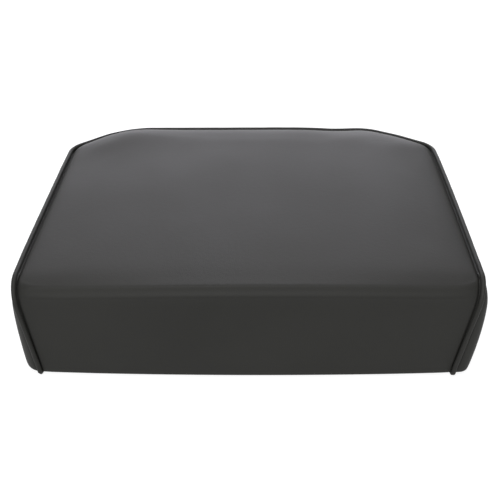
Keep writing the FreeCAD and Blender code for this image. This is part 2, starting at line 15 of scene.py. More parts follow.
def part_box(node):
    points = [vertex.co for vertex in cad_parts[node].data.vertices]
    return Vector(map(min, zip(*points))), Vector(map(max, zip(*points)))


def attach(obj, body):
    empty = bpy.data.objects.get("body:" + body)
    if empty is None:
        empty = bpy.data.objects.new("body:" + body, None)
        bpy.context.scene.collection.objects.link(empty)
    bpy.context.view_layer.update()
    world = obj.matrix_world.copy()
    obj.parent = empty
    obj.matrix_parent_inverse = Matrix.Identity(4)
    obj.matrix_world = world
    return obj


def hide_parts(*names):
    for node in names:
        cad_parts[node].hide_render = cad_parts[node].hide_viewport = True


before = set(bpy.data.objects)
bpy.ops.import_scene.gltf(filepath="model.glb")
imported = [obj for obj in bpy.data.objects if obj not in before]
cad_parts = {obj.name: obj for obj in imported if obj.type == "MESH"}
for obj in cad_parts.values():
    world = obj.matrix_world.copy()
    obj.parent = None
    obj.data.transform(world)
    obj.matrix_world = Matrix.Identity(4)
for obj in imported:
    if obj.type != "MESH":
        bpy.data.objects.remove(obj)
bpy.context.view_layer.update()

# ---- Sizes ----

WELT_RADIUS = 0.0024
WELT_INSET = 0.0030  # from the designed welt's outermost side in to the seams
welt_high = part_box("piping_sleeve")[1]
SEAM_X = welt_high.x - WELT_INSET  # the side seams, either side of the middle
SEAM_Y = welt_high.y - WELT_INSET  # the back seam, and the front corners at -SEAM_Y
SEAM_Z = welt_high.z - WELT_INSET
SEAM_FOOT_X = 0.212  # the front seams at the ground
SEAM_BEND = 0.026  # bend of a side seam where it passes over the front edge
BACK_SEAM_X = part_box("cover_back")[1].x  # the two upright seams in the back

CORNER_DEPTH = 0.055  # angled rear corners
CORNER_ANGLE = math.radians(34)
CORNER_WIDTH = CORNER_DEPTH / math.tan(CORNER_ANGLE)
CORNER_BULGE = 0.002  # they are slightly convex
CORNER_BULGE_RADIUS = 0.25
SIDE_CORNER = 0.028  # plan radius between a side and an angled corner
REAR_CORNER = 0.060  # plan radius between an angled corner and the back

NOSE_LOW_RADIUS = 0.027  # the front edge of the seat, halfway across, starts to turn back gently
NOSE_LOW_ANGLE = math.radians(27)
NOSE_TOP_RADIUS = 0.0035  # and ends in a crease
RIDGE = 0.0016  # a faint ridge runs below the crease
RIDGE_DROP = 0.0105
RIDGE_SPREAD = 0.0036
NOSE_STRAIGHT = 24  # power of the distance across at which the crease gives way to the seam's bend
FRONT_CORNER = 0.019  # plan radius of a side panel just behind the front seam
CROWDING = 0.93  # how far the columns and rows of the top's grid close up towards its seams
CROWDED_SHARE = 0.7  # of the spacing of its rows, and the rest is even
FRONT_BOW = 0.0060  # the front face stands forward of its corners
FRONT_RISE = 0.0046  # crown of the front edge over the seams
CROWN_RISE = 0.0123  # crown of the rest of the seat
CROWN_ROLL = 0.048  # width of the crown's rounded border
CROWN_RAMP = 0.280  # the crown is full this far behind the front edge
CROWN_RAMP_POWER = 1.6
CROWN_ROLL_POWER = 0.55
REAR_PUFFS = [((-0.175, 0.155), 0.0045), ((0.185, 0.155), 0.0015)]  # fuller rear corners
PUFF_SPREAD = 0.035
GROOVE_WIDTH = 0.0030  # the cover dips beside the welt
GROOVE_DEPTH = 0.0023
GROOVE_FADE = 0.012  # and the dip fades out this far above the ground
LEFT_SWELL = 0.0063  # the side panels stand out past the seams, the right one more
RIGHT_SWELL = 0.0090
BACK_SWELL = 0.0050
SEAM_DRAW = 0.016  # the swelling dies away this close to the upright seams in the back
SEAM_DRAW_POWER = 2.5
LEFT_TUCK = 0.0014  # and draw in again at the ground
RIGHT_TUCK = 0.0016
LEAN = 0.0020  # the cover is pulled this far to the left at the ground
PULLS = [  # and near the top, round a point of the plan: by how much, and over what distance
    ((0.230, 0.010), (0.0016, 0.0, 0.0), 0.110),
    ((-0.182, 0.170), (0.0, 0.0010, 0.0018), 0.022),
    ((-0.226, 0.128), (0.0004, -0.0006, -0.0004), 0.022),
    ((-0.232, -0.180), (0.0010, 0.0, 0.0), 0.030),
    ((-0.150, -0.190), (0.0, 0.0, -0.0010), 0.070),
    ((0.115, 0.180), (0.0, 0.0, -0.0024), 0.024),
    ((0.222, 0.140), (-0.0012, -0.0006, 0.0), 0.022),
]

HEM_Z = 0.0009  # outer face of the hems stapled under the board
HEM_SHARE = np.array([0.18, 0.21])  # the hems reach in by this share of the half width and half depth
EDGE_ROUND = 0.0030  # rounding of the bottom edges
EDGE_ROUND_CORNER = 0.0036  # rounding at the front corners, over the end of the welt
LEFT_CORNER_ROUND = 0.0050  # rounding of the side panels' bottom edges at the front corners
RIGHT_CORNER_ROUND = 0.0020
LEFT_CORNER_POWER = 1.0  # a side panel's front corner is an ellipse in plan, or squarer with a lower power
RIGHT_CORNER_POWER = 0.65
WELT_PROUD = 0.0016  # the welt's centre line stands out from the seam
FILLER_RADIUS = 0.0016
LEFT_FOOT_FORWARD = 0.0010  # and the welt's ends stand forward at the ground
RIGHT_FOOT_FORWARD = 0.0020

COVER_THICKNESS = 0.0009
WADDING_DEPTH = 0.0028  # from the cover's outer face to the wadding's
WADDING_THICKNESS = 0.0035
WADDING_TRIM = 5  # rows and columns of the cover's panels that it stays short of their seams


# ---- Lines ----


def rounded(points, radii, step=0.001):
    """A dense line through points, with a tangent arc of the given radius at each inner point."""
    points = [np.array(p, float) for p in points]
    line = [points[0]]
    for i, radius in enumerate(radii, start=1):
        arrive = points[i] - points[i - 1]
        leave = points[i + 1] - points[i]
        arrive /= np.linalg.norm(arrive)
        leave /= np.linalg.norm(leave)
        turn = math.acos(np.clip(arrive @ leave, -1, 1))
        onward = (arrive + leave) / np.linalg.norm(arrive + leave)
        inward = (leave - arrive) / np.linalg.norm(leave - arrive)
        centre = points[i] + inward * radius / math.cos(turn / 2)
        for angle in np.linspace(-turn / 2, turn / 2, max(5, int(radius * turn / step))):
            line.append(centre + radius * (math.sin(angle) * onward - math.cos(angle) * inward))
    line.append(points[-1])
    return resampled(np.array(line), step)


def lengths(line):
    return np.concatenate(([0], np.cumsum(np.linalg.norm(np.diff(line, axis=0), axis=1))))


def at_length(line, wanted):
    """Points of a line at these distances along it."""
    at = lengths(line)
    return np.stack([np.interp(wanted, at, line[:, k]) for k in range(line.shape[1])], axis=-1)


def resampled(line, step):
    whole = lengths(line)[-1]
    return at_length(line, np.linspace(0, whole, int(whole / step) + 2))


def crowded(count, ends=0.85):
    """Numbers from -1 to 1, closer together towards both ends."""
    s = np.linspace(-1, 1, count) * ends * math.pi / 2
    return np.sin(s) / math.sin(ends * math.pi / 2)


def ease(x):
    x = np.clip(x, 0, 1)
    return x * x * (3 - 2 * x)


# ---- The seams ----


def seam_x(z):
    """The front seams lean outwards from the ground to the top."""
    return SEAM_FOOT_X + (SEAM_X - SEAM_FOOT_X) * np.clip(z / SEAM_Z, 0, 1)


def seam_plan():
    """Plan of the seam round the top's right half, from the front to the middle of the back."""
    bulge = CORNER_BULGE * np.array([math.sin(CORNER_ANGLE), math.cos(CORNER_ANGLE)])
    points = [
        (SEAM_X, -SEAM_Y),
        (SEAM_X, SEAM_Y - CORNER_DEPTH),
        (SEAM_X - CORNER_WIDTH / 2 + bulge[0], SEAM_Y - CORNER_DEPTH / 2 + bulge[1]),
        (SEAM_X - CORNER_WIDTH, SEAM_Y),
        (0, SEAM_Y),
    ]
    return rounded(points, [SIDE_CORNER, CORNER_BULGE_RADIUS, REAR_CORNER])


def outward(plan):
    """Unit normals of a plan line, pointing out of the seat."""
    along = np.gradient(plan, axis=0)
    along /= np.linalg.norm(along, axis=1)[:, None]
    return np.stack([along[:, 1], -along[:, 0]], axis=-1)


PLAN = seam_plan()
PLAN_NORMAL = outward(PLAN)
PLAN_AT = lengths(PLAN)
BACK_SEAM_AT = np.interp(-BACK_SEAM_X, -PLAN[:, 0], PLAN_AT)
SIDE_CORNER_AT = 2 * SEAM_Y - CORNER_DEPTH


def bottom_round(x):
    """Radius of the front's bottom edge at a distance from the middle."""
    near_corner = ease((np.abs(x) / SEAM_FOOT_X - 0.94) / 0.06)
    return EDGE_ROUND + (EDGE_ROUND_CORNER - EDGE_ROUND) * near_corner


def hem_rows(rim, count):
    """Rows that carry a panel's bottom rim inwards under the board, innermost first."""
    rows = []
    for share in np.linspace(1, 0, count + 1)[:-1]:
        row = rim.copy()
        row[:, :2] *= 1 - share * HEM_SHARE
        rows.append(row)
    return rows


# ---- The panels, as grids of points ----


def top_front_grid(columns=89, wall_rows=18, top_rows=86):
    """The one panel over the top and down the front, in rows from its hem to the back seam."""
    u = crowded(columns, CROWDING)
    to_seam = SEAM_X * (1 - np.abs(u))
    round_here = bottom_round(u * SEAM_FOOT_X)
    to_bend = np.abs(u) ** NOSE_STRAIGHT
    low_radius = NOSE_LOW_RADIUS + (SEAM_BEND - NOSE_LOW_RADIUS) * to_bend
    top_radius = NOSE_TOP_RADIUS + (SEAM_BEND - NOSE_TOP_RADIUS) * to_bend
    turn = NOSE_LOW_ANGLE
    nose_height = low_radius * math.sin(turn) + top_radius * (1 - math.sin(turn))
    nose_depth = low_radius * (1 - math.cos(turn)) + top_radius * math.cos(turn)
    front_top = SEAM_Z + FRONT_RISE * (1 - u**2) - groove(to_seam)

    def face(z):
        """The front face at a height: bowed forward, and a little fuller halfway up."""
        t = np.clip(z / SEAM_Z, 0, 1)
        bow = FRONT_BOW * (1 - u**2) * (0.75 + t * (1 - t))
        ridge = RIDGE * (1 - to_bend) * np.exp(-(((front_top - z - RIDGE_DROP) / RIDGE_SPREAD) ** 2))
        return -SEAM_Y - bow - ridge + groove(to_seam) * ease(z / GROOVE_FADE)

    rows = []
    for angle in np.linspace(0, math.pi / 2, 6)[:-1]:
        z = HEM_Z + round_here * (1 - math.cos(angle))
        rows.append((u * seam_x(z), face(z) + round_here * (1 - math.sin(angle)), z))
    low, high = HEM_Z + round_here, front_top - nose_height
    for t in np.linspace(0, 1, wall_rows + 1)[:-1]:
        z = low + (high - low) * t
        rows.append((u * seam_x(z), face(z), z))
    for angle in np.linspace(0, turn, 9)[:-1]:
        z = high + low_radius * math.sin(angle)
        rows.append((u * seam_x(z), face(z) + low_radius * (1 - math.cos(angle)), z))
    for angle in np.linspace(turn, math.pi / 2, 8)[:-1]:
        z = front_top - top_radius * (1 - math.sin(angle))
        rows.append((u * seam_x(z), face(z) + nose_depth - top_radius * math.cos(angle), z))
    plan = top_plan(u, face(front_top) + nose_depth, top_rows)
    z = crown_height(plan, front_top)
    rows += [(p[:, 0], p[:, 1], height) for p, height in zip(plan, z)]
    grid = [np.stack(np.broadcast_arrays(*row), axis=-1) for row in rows]
    return np.array(hem_rows(grid[0], 6) + grid)


def top_plan(u, front_y, count):
    """Fills the top's plan between its front edge, its two sides and its back."""
    split = SIDE_CORNER_AT
    close = crowded(2 * count - 1, CROWDING)[count - 1 :]
    v = CROWDED_SHARE * close + (1 - CROWDED_SHARE) * np.linspace(0, 1, count)
    right = at_length(PLAN, SEAM_BEND + (split - SEAM_BEND) * v)
    front = np.stack([u * SEAM_X, front_y], axis=-1)
    half_rear = at_length(PLAN, np.linspace(split, PLAN_AT[-1], 400))
    rear_line = np.concatenate([half_rear * (-1, 1), half_rear[::-1][1:]])
    rear = at_length(rear_line, (u + 1) / 2 * lengths(rear_line)[-1])
    s, t = ((u + 1) / 2)[None, :, None], v[:, None, None]
    corners = (1 - t) * ((1 - s) * front[0] + s * front[-1]) + t * ((1 - s) * rear[0] + s * rear[-1])
    sides = (1 - s) * (right * (-1, 1))[:, None] + s * right[:, None]
    return (1 - t) * front[None] + t * rear[None] + sides - corners


def groove(distance):
    """Depth of the dip beside the welt at a distance from the seam."""
    return GROOVE_DEPTH * np.sin(math.pi * np.clip(distance / GROOVE_WIDTH, 0, 1))


def border(distance):
    """Height, from 0 to 1, of the crown at a distance in from the seam."""
    return (1 - (1 - np.clip((distance - GROOVE_WIDTH) / CROWN_ROLL, 0, 1)) ** 2) ** CROWN_ROLL_POWER


def crown_height(plan, front_top):
    """The crown: low along the front edge, full further back, and rolled down to the seams."""
    line = np.concatenate([PLAN, PLAN * (-1, 1)])
    distance = np.array([[np.sqrt(((line - p) ** 2).sum(1).min()) for p in row] for row in plan])
    behind = plan[..., 1] - plan[0, :, 1]
    ramp = 1 - (1 - np.clip(behind / CROWN_RAMP, 0, 1)) ** CROWN_RAMP_POWER
    full = FRONT_RISE + (CROWN_RISE - FRONT_RISE) * ramp
    for (x, y), height in REAR_PUFFS:
        full += height * np.exp(-((plan[..., 0] - x) ** 2 + (plan[..., 1] - y) ** 2) / (2 * PUFF_SPREAD**2))
    z = SEAM_Z + full * border(distance)
    z[0] = front_top
    for _ in range(10):
        middle = (z[:-2, 1:-1] + z[2:, 1:-1] + z[1:-1, :-2] + z[1:-1, 2:]) / 4
        z[1:-1, 1:-1] += ease(distance[1:-1, 1:-1] / 0.02) * (middle - z[1:-1, 1:-1])
    z[1:] -= groove(distance[1:])
    return z


def boxing_levels(wall_rows=16):
    """Levels down a boxing panel, from the seam to the ground, each with how far along its part it is."""
    bend = [("bend", a) for a in np.linspace(math.pi / 2, 0, 12)[:-1]]
    wall = [("wall", t) for t in np.linspace(1, 0, wall_rows + 1)[:-1]]
    edge = [("edge", a) for a in np.linspace(math.pi / 2, 0, 6)]
    return bend + wall + edge


def boxing_grid(start, end, columns, swell, tuck_in=0.0, corner_columns=0, corner_round=0, corner_power=1):
    """A boxing panel under the top seam between two distances along its plan, in rows from its hem up.

    With corner columns, its front edge runs down the front seam, and it turns the front corner first.
    """
    share = (crowded(columns) + 1) / 2
    turn = math.pi / 2 * np.linspace(0, 1, corner_columns + 1)[:-1] ** 1.5
    split = len(turn)
    sideways, backwards = np.sin(turn) ** corner_power, 1 - np.cos(turn) ** corner_power
    from_corner = 1 - ease(share * 4) if corner_columns else 0 * share
    corner_rounds = EDGE_ROUND_CORNER + (corner_round - EDGE_ROUND_CORNER) * np.sin(turn)
    side_rounds = EDGE_ROUND + (corner_round - EDGE_ROUND) * from_corner
    round_here = np.concatenate([corner_rounds, side_rounds])
    rows = []
    for part, amount in boxing_levels():
        back, tuck = 0, np.zeros_like(round_here)
        if part == "bend":
            z = np.full_like(round_here, SEAM_Z - SEAM_BEND * (1 - math.sin(amount)))
            back = SEAM_BEND * (1 - math.cos(amount))
        elif part == "wall":
            low = HEM_Z + round_here
            z = low + (SEAM_Z - SEAM_BEND - low) * amount
        else:
            z = HEM_Z + round_here * (1 - math.cos(amount))
            tuck = round_here * (1 - math.sin(amount))
        first = back + FRONT_CORNER if corner_columns else start
        at = first + (end - first) * share
        normal = np.stack([np.interp(at, PLAN_AT, PLAN_NORMAL[:, k]) for k in (0, 1)], axis=-1)
        out = belly(z[split:]) * swell(at) - drawn_in(z[split:]) * tuck_in - tuck[split:]
        points = at_length(PLAN, at) + normal * out[:, None]
        if corner_columns:
            low = z[:split]
            seam = seam_x(low)
            width = SEAM_X + belly(low) * swell(first) - drawn_in(low) * tuck_in - seam
            corner = np.stack([seam + width * sideways, back - SEAM_Y + FRONT_CORNER * backwards], axis=-1)
            facing = np.stack([np.sin(turn) / np.maximum(width, 1e-4), -np.cos(turn) / FRONT_CORNER], axis=-1)
            facing /= np.linalg.norm(facing, axis=1)[:, None]
            dip = groove(np.hypot(width * sideways, FRONT_CORNER * backwards)) * ease(low / GROOVE_FADE)
            points = np.concatenate([corner - facing * (tuck[:split] + dip)[:, None], points])
        rows.append(np.concatenate([points, z[:, None]], axis=1))
    return np.array(hem_rows(rows[-1], 6) + rows[::-1])


def belly(z):
    """How a boxing panel swells with height: not at all at the seam, and most a third of the way down."""
    t = np.clip(z / SEAM_Z, 0, 1)
    return (4 * t * (1 - t)) ** 0.45 * (0.55 + 0.72 * t)


def drawn_in(z):
    """How a boxing panel draws in towards the ground."""
    return (1 - np.clip(z / SEAM_Z, 0, 1)) ** 1.5


def side_swell(full):
    """Swelling of a side panel: full along the side, less round the back, drawn in at the upright seam."""

    def swell(at):
        round_back = ease((at - SIDE_CORNER_AT + 0.03) / 0.08)
        here = full + (BACK_SWELL - full) * round_back
        return here * from_seam(BACK_SEAM_AT - at)

    return swell


def back_swell(at):
    """Swelling of the back panel: full across it, and drawn in at the upright seams."""
    return BACK_SWELL * from_seam(at - BACK_SEAM_AT)


def from_seam(distance):
    """How much of the swelling is left, from 0 to 1, at a distance from an upright seam."""
    return 1 - (1 - np.clip(distance / SEAM_DRAW, 0, 1)) ** SEAM_DRAW_POWER


def mirrored(grid):
    """The other side's panel, with its rows turned round so that its faces still point outwards."""
    return grid[:, ::-1] * (-1, 1, 1)


# ---- Meshes ----


def mesh_object(name, points, faces, material, smooth=True):
    mesh = bpy.data.meshes.new(name)
    mesh.from_pydata([tuple(p) for p in points], [], faces)
    mesh.materials.append(material)
    if smooth:
        mesh.shade_smooth()
    obj = bpy.data.objects.new(name, mesh)
    bpy.context.scene.collection.objects.link(obj)
    return obj


def grid_faces(rows, columns, close=False):
    """Faces between the rows of a grid, also from its last column to its first when it closes."""
    faces = []
    for i in range(rows - 1):
        for j in range(columns if close else columns - 1):
            k = (j + 1) % columns
            here, above = i * columns, (i + 1) * columns
            faces.append((here + j, here + k, above + k, above + j))
    return faces


def grid_object(name, grid, material):
    return mesh_object(name, grid.reshape(-1, 3), grid_faces(*grid.shape[:2]), material)


def positions(obj):
    co = np.empty(len(obj.data.vertices) * 3, np.float32)
    obj.data.vertices.foreach_get("co", co)
    return co.reshape(-1, 3).astype(float)


def set_positions(obj, co):
    obj.data.vertices.foreach_set("co", co.astype(np.float32).ravel())
    obj.data.update()


def baked(obj):
    """Applies an object's modifiers to its mesh."""
    evaluated = obj.evaluated_get(bpy.context.evaluated_depsgraph_get())
    mesh = bpy.data.meshes.new_from_object(evaluated)
    old = obj.data
    obj.modifiers.clear()
    obj.data = mesh
    bpy.data.meshes.remove(old)


CLOTH_FRAMES = 20
CLOTH_LIMIT = 0.0008
CLOTH_SMOOTHING = 14


def inflated(obj, free):
    """Blows a panel up as cloth. Only the vertices marked free move.

    The foam holds them from behind, so they move outwards only, each by at most the limit.
    """
    scene = bpy.context.scene
    start = positions(obj)
    normals = np.array([v.normal for v in obj.data.vertices])
    pins = obj.vertex_groups.new(name="pins")
    pins.add([int(i) for i in np.flatnonzero(~free.ravel())], 1.0, "REPLACE")
    cloth = obj.modifiers.new("cloth", "CLOTH")
    settings = cloth.settings
    settings.vertex_group_mass = "pins"
    settings.use_pressure = True
    settings.uniform_pressure_force = 4
    settings.effector_weights.gravity = 0
    settings.quality = 6
    settings.mass = 0.4
    settings.tension_stiffness = settings.compression_stiffness = 25
    settings.shear_stiffness = 10
    settings.bending_stiffness = 4
    settings.shrink_min = 0.002
    cloth.point_cache.frame_start, cloth.point_cache.frame_end = 1, CLOTH_FRAMES
    for number in range(1, CLOTH_FRAMES + 1):
        scene.frame_set(number)
    baked(obj)
    scene.frame_set(1)
    risen = ((positions(obj) - start) * normals).sum(axis=1)
    risen = CLOTH_LIMIT * np.tanh(np.maximum(risen, 0) / CLOTH_LIMIT)
    set_positions(obj, start + normals * smoothed(risen.reshape(free.shape), CLOTH_SMOOTHING).reshape(-1, 1))


def smoothed(field, rounds):
    """A grid of values averaged with its neighbours, except along its edges."""
    field = field.copy()
    for _ in range(rounds):
        inner = field[1:-1, 1:-1]
        around = field[:-2, 1:-1] + field[2:, 1:-1] + field[1:-1, :-2] + field[1:-1, 2:]
        field[1:-1, 1:-1] = (inner + around / 4) / 2
    return field


def cover_panel(name, grid, node):
    """One sewn panel of the cover, from its grid."""
    panel = grid_object(name, grid, VINYL)
    free = np.zeros(grid.shape[:2], bool)
    free[9:-1, 1:-1] = True
    inflated(panel, free)
    subdivide = panel.modifiers.new("finer", "SUBSURF")
    subdivide.levels = subdivide.render_levels = 1
    subdivide.boundary_smooth = "PRESERVE_CORNERS"
    thickness = panel.modifiers.new("thickness", "SOLIDIFY")
    thickness.thickness = COVER_THICKNESS
    thickness.offset = -1
    baked(panel)
    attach(panel, "root")
    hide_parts(node)
    return panel


def tube(name, path, radii, sides, material, caps=True):
    """A tube along a path, with a radius at each point of it."""
    along = np.gradient(path, axis=0)
    along /= np.linalg.norm(along, axis=1)[:, None]
    side = np.cross(along[0], (0.3, 0.2, 1.0))
    rings = []
    for point, direction, radius in zip(path, along, radii):
        side = side - direction * (side @ direction)
        side /= np.linalg.norm(side)
        up = np.cross(direction, side)
        angles = np.linspace(0, 2 * math.pi, sides, endpoint=False)
        rings.append(point + radius * (np.cos(angles)[:, None] * side + np.sin(angles)[:, None] * up))
    rings = np.array(rings)
    faces = grid_faces(len(rings), sides, close=True)
    if caps:
        faces.append(tuple(range(sides))[::-1])
        faces.append(tuple((len(rings) - 1) * sides + k for k in range(sides)))
    return mesh_object(name, rings.reshape(-1, 3), faces, material)


# ---- Materials ----


def new_material(name, colour, roughness, metallic=0.0):
    material = bpy.data.materials.new(name)
    material.use_nodes = True
    shader = material.node_tree.nodes["Principled BSDF"]
    shader.inputs["Base Color"].default_value = (*colour, 1)
    shader.inputs["Roughness"].default_value = roughness
    shader.inputs["Metallic"].default_value = metallic
    return material


def texture(material, kind, scale, stretch=(1, 1, 1), **values):
    """A procedural texture in the object's own coordinates, in metres."""
    nodes, links = material.node_tree.nodes, material.node_tree.links
    where = nodes.new("ShaderNodeTexCoord")
    mapping = nodes.new("ShaderNodeMapping")
    mapping.inputs["Scale"].default_value = stretch
    node = nodes.new(kind)
    node.inputs["Scale"].default_value = scale
    for key, value in values.items():
        node.inputs[key].default_value = value
    links.new(where.outputs["Object"], mapping.inputs["Vector"])
    links.new(mapping.outputs["Vector"], node.inputs["Vector"])
    return node


def ranged(material, source, low, high, start=0.3, end=0.7):
    """Maps a texture's values between start and end onto low to high."""
    node = material.node_tree.nodes.new("ShaderNodeMapRange")
    for key, value in (("From Min", start), ("From Max", end), ("To Min", low), ("To Max", high)):
        node.inputs[key].default_value = value
    material.node_tree.links.new(source, node.inputs["Value"])
    return node.outputs["Result"]


def blended(material, factor, first, second):
    """A colour between two colours."""
    node = material.node_tree.nodes.new("ShaderNodeMix")
    node.data_type = "RGBA"
    node.inputs["A"].default_value = (*first, 1)
    node.inputs["B"].default_value = (*second, 1)
    material.node_tree.links.new(factor, node.inputs["Factor"])
    return node.outputs["Result"]


def bumped(material, height, strength, distance):
    """Feeds a height into the shader's normal, after any bump that is already there."""
    nodes, links = material.node_tree.nodes, material.node_tree.links
    bump = nodes.new("ShaderNodeBump")
    bump.inputs["Strength"].default_value = strength
    bump.inputs["Distance"].default_value = distance
    links.new(height, bump.inputs["Height"])
    normal = nodes["Principled BSDF"].inputs["Normal"]
    if normal.is_linked:
        links.new(normal.links[0].from_socket, bump.inputs["Normal"])
    links.new(bump.outputs["Normal"], normal)


def painted(material, socket, value):
    shader = material.node_tree.nodes["Principled BSDF"]
    material.node_tree.links.new(value, shader.inputs[socket])


def vinyl(name, dark, light):
    """Matt upholstery vinyl with a fine leather grain."""
    material = new_material(name, light, 0.5)
    material.node_tree.nodes["Principled BSDF"].inputs["Specular IOR Level"].default_value = 0.16
    patches = texture(material, "ShaderNodeTexNoise", 9, Detail=3)
    tint = ranged(material, patches.outputs[0], 0, 1)
    painted(material, "Base Color", blended(material, tint, dark, light))
    painted(material, "Roughness", ranged(material, patches.outputs[0], 0.54, 0.60))
    pebbles = texture(material, "ShaderNodeTexVoronoi", 850)
    bumped(material, pebbles.outputs["Distance"], 0.20, 0.0003)
    creases = texture(material, "ShaderNodeTexNoise", 220, Detail=4)
    bumped(material, creases.outputs[0], 0.24, 0.0004)
    return material


VINYL = vinyl("cover_vinyl", (0.0150, 0.0150, 0.0135), (0.0178, 0.0178, 0.0160))
PIPING_VINYL = vinyl("piping_vinyl", (0.0150, 0.0150, 0.0135), (0.0178, 0.0178, 0.0160))


def foam(name, colour):
    """Open-celled foam."""
    material = new_material(name, colour, 0.95)
    cells = texture(material, "ShaderNodeTexVoronoi", 1100)
    bumped(material, cells.outputs["Distance"], 0.8, 0.0006)
    return material


def fibre(name, colour, scale):
    """Matted fibres, for the wadding and the filler cord."""
    material = new_material(name, colour, 0.9)
    hairs = texture(material, "ShaderNodeTexNoise", scale, stretch=(1, 0.25, 1), Detail=6)
    bumped(material, hairs.outputs[0], 0.7, 0.001)
    return material


def dust_cloth():
    """Black non-woven cloth, bonded in a grid of small dots."""
    material = new_material("dust_cloth", (0.02, 0.02, 0.021), 0.9)
    dots = texture(material, "ShaderNodeTexVoronoi", 520, Randomness=0)
    bumped(material, dots.outputs["Distance"], 0.5, 0.0005)
    fibres = texture(material, "ShaderNodeTexNoise", 900, Detail=5)
    bumped(material, fibres.outputs[0], 0.4, 0.0004)
    return material


def plywood():
    """Birch plywood: a stretched grain on its faces, and plies along its edges."""
    material = new_material("plywood", (0.62, 0.44, 0.26), 0.6)
    grain = texture(material, "ShaderNodeTexNoise", 30, stretch=(0.12, 1, 3), Detail=8)
    tint = ranged(material, grain.outputs[0], 0, 1)
    painted(material, "Base Color", blended(material, tint, (0.68, 0.50, 0.31), (0.50, 0.34, 0.19)))
    bumped(material, grain.outputs[0], 0.15, 0.0004)
    return material


def metal(name, colour, roughness):
    material = new_material(name, colour, roughness, metallic=1.0)
    spangle = texture(material, "ShaderNodeTexVoronoi", 260)
    painted(material, "Roughness", ranged(material, spangle.outputs["Distance"], roughness, roughness + 0.15))
    return material


def refinish(node, material):
    """Gives a CAD node a better material."""
    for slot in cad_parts[node].material_slots:
        slot.material = material


WADDING = fibre("polyester_wadding", (0.80, 0.80, 0.78), 180)
FILLER = fibre("filler_cord", (0.72, 0.70, 0.64), 900)
DUST_CLOTH = dust_cloth()
refinish("foam_core", foam("firm_foam", (0.60, 0.63, 0.66)))
refinish("foam_topper", foam("soft_foam", (0.78, 0.74, 0.60)))
refinish("base_board", plywood())
refinish("tee_nuts", metal("zinc_steel", (0.62, 0.62, 0.60), 0.32))
WIRE = metal("staple_wire", (0.66, 0.66, 0.67), 0.25)
refinish("cover_staples", WIRE)
refinish("dust_cover_staples", WIRE)


# ---- The cover ----

TOP_FRONT = top_front_grid()
right_corner = (12, RIGHT_CORNER_ROUND, RIGHT_CORNER_POWER)
left_corner = (12, LEFT_CORNER_ROUND, LEFT_CORNER_POWER)
SIDE_RIGHT = boxing_grid(0, BACK_SEAM_AT, 104, side_swell(RIGHT_SWELL), RIGHT_TUCK, *right_corner)
SIDE_LEFT = boxing_grid(0, BACK_SEAM_AT, 104, side_swell(LEFT_SWELL), LEFT_TUCK, *left_corner)


def back_grid():
    """The back panel: the right half and its mirror image, sharing the middle column."""
    half = boxing_grid(BACK_SEAM_AT, PLAN_AT[-1], 31, back_swell)
    return np.concatenate([half, mirrored(half)[:, 1:]], axis=1)


def settled(points):
    """Points moved to the left towards the ground, and along the pulls towards the top."""
    height = np.clip(points[..., 2:] / SEAM_Z, 0, 1)
    moved = points - (LEAN, 0, 0) * (1 - height)
    for place, pull, spread in PULLS:
        far = ((points[..., :2] - place) ** 2).sum(axis=-1, keepdims=True)
        moved += np.array(pull) * height * np.exp(-far / (2 * spread**2))
    return moved


grids = {
    "cover_top_front": settled(TOP_FRONT),
    "cover_side_right": settled(SIDE_RIGHT),
    "cover_side_left": settled(mirrored(SIDE_LEFT)),
    "cover_back": settled(back_grid()),
}
for name, grid in grids.items():
    cover_panel(name + "_panel", grid, name)


# ---- The welt, with its filler cord ----


def welt_half(forward):
    """The welt's centre line, up the right front corner and round to the middle of the back.

    It starts under the board, comes forward past the front face, and turns up along the front seam.
    """
    out = WELT_PROUD
    foot = [
        (SEAM_FOOT_X - 0.001, -SEAM_Y + 0.009, 0.0027),
        (SEAM_FOOT_X, -SEAM_Y - out - forward, 0.0025),
        (SEAM_FOOT_X + out, -SEAM_Y - out, 0.012),
        (SEAM_X + out, -SEAM_Y - out, SEAM_Z + out),
        (SEAM_X + out, SEAM_BEND * 2 - SEAM_Y, SEAM_Z + out),
    ]
    rise = rounded(foot, [0.0025, 0.012, SEAM_BEND])
    plan = at_length(PLAN, np.linspace(SEAM_BEND * 2 + 0.001, PLAN_AT[-1], 500))
    top = np.concatenate([plan + out * outward(plan), np.full((len(plan), 1), SEAM_Z + out)], axis=1)
    return np.concatenate([rise, top])


welt_left = welt_half(LEFT_FOOT_FORWARD) * (-1, 1, 1)
WELT = settled(resampled(np.concatenate([welt_half(RIGHT_FOOT_FORWARD), welt_left[::-1][1:]]), 0.0025))
ripple = np.array([noise.noise(Vector(p) * 60) for p in WELT])
sleeve = tube("welt_sleeve", WELT, WELT_RADIUS * (1 + 0.06 * ripple), 16, PIPING_VINYL)
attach(sleeve, "root")
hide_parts("piping_sleeve")

filler = tube("welt_filler", WELT, np.full(len(WELT), FILLER_RADIUS), 10, FILLER)
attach(filler, "root")
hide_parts("piping_cord")


# ---- The wadding ----


def wadding():
    """The wadding under the cover, panel by panel, joined into one piece."""
    pieces = []
    for name, grid in grids.items():
        piece = grid_object("wadding_" + name, grid[6:-WADDING_TRIM, WADDING_TRIM:-WADDING_TRIM], WADDING)
        normals = np.array([v.normal for v in piece.data.vertices])
        set_positions(piece, positions(piece) - normals * WADDING_DEPTH)
        thickness = piece.modifiers.new("thickness", "SOLIDIFY")
        thickness.thickness = WADDING_THICKNESS
        thickness.offset = -1
        baked(piece)
        pieces.append(piece)
    with bpy.context.temp_override(active_object=pieces[0], selected_editable_objects=pieces):
        bpy.ops.object.join()
    pieces[0].name = "wadding_wrap"
    return pieces[0]


wrap = wadding()
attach(wrap, "root")
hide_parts("wadding")


# ---- The dust cover ----

